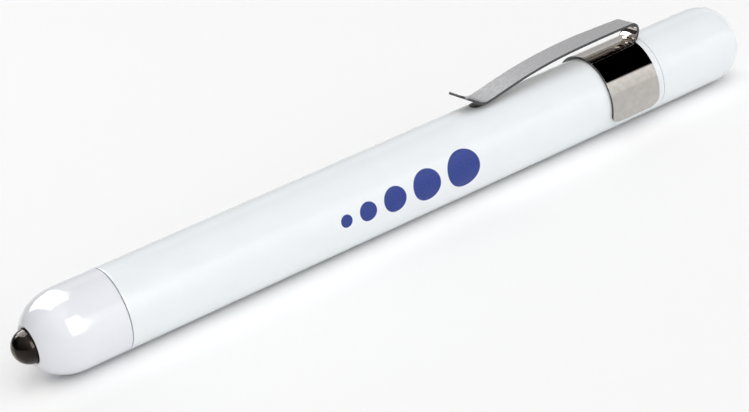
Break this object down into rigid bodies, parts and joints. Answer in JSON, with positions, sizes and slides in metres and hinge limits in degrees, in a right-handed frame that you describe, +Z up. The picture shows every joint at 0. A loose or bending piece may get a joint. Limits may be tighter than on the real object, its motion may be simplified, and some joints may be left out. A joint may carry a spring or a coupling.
{
  "type": "pocket penlight",
  "caption": "Pocket examination penlight: a white enamelled tube with a screw-off lamp nose, a rounded tail cap and a spring pocket clip whose arm is the press switch.",
  "frame": {"origin": "centre of the object's box, on the flat it rests on, at the bottom of the tube", "axes": "+X along the tube from the lamp to the tail cap, +Z up through the pocket clip, +Y across"},
  "size_m": [0.1328, 0.0136, 0.0158],
  "materials": {
    "enamel": "gloss white enamel on a thin metal tube",
    "cap_enamel": "gloss white enamel",
    "nose_enamel": "gloss white enamel, faintly lavender",
    "polished_nickel": "polished nickel plate on spring steel",
    "satin_nickel": "satin nickel plate on spring steel",
    "contact_metal": "bare nickel",
    "nylon": "natural nylon",
    "brass": "bare brass",
    "spring_steel": "spring wire",
    "lamp_glass": "clear lamp glass with a solid lens end",
    "tungsten": "tungsten wire",
    "black_insulator": "black fused insulator",
    "solder": "solder",
    "cell_steel": "nickel-plated can",
    "cell_core": "pressed powder",
    "cell_jacket": "plain printed film"
  },
  "bodies": {
    "housing": {"tube": "enamel", "tail_cap": "cap_enamel", "clip_band": "polished_nickel", "contact_stud": "contact_metal", "switch_pin": "contact_metal", "switch_grommet": "nylon", "tail_bush": "nylon", "tail_contact": "brass", "tail_spring": "spring_steel"},
    "clip": {"clip_arm": "satin_nickel"},
    "stack": {"front_cell_can": "cell_steel", "front_cell_core": "cell_core", "front_cell_end_plate": "cell_steel", "front_cell_jacket": "cell_jacket", "front_cell_seal": "nylon", "rear_cell_can": "cell_steel", "rear_cell_core": "cell_core", "rear_cell_end_plate": "cell_steel", "rear_cell_jacket": "cell_jacket", "rear_cell_seal": "nylon", "lamp_glass": "lamp_glass", "lamp_filament": "tungsten", "lamp_lead_left": "contact_metal", "lamp_lead_right": "contact_metal", "lamp_bead": "lamp_glass", "lamp_base": "brass", "lamp_insulator": "black_insulator", "lamp_contact": "solder", "lamp_holder": "brass"},
    "nose": {"nose_cone": "nose_enamel"}
  },
  "joints": [
    {"name": "clip_press", "type": "hinge", "parent": "housing", "child": "clip", "pos_m": [0.04605, 0, 0.01439], "axis": [0, -1, 0], "range_deg": [-5.5, 0.6], "stiffness_Nm_per_rad": 2.7},
    {"name": "stack_feed", "type": "slide", "parent": "housing", "child": "stack", "axis": [-1, 0, 0], "range_m": [0, 0.004], "deforming": ["tail_spring"]},
    {"name": "nose_turn", "type": "hinge", "parent": "stack", "child": "nose", "pos_m": [-0.05078, 0, 0.00633], "axis": [-1, 0, 0], "range_deg": [0, 1800]}
  ],
  "couplings": [
    {"joint": "nose_turn", "follows": "stack_feed", "rad_per_m": 7854}
  ]
}
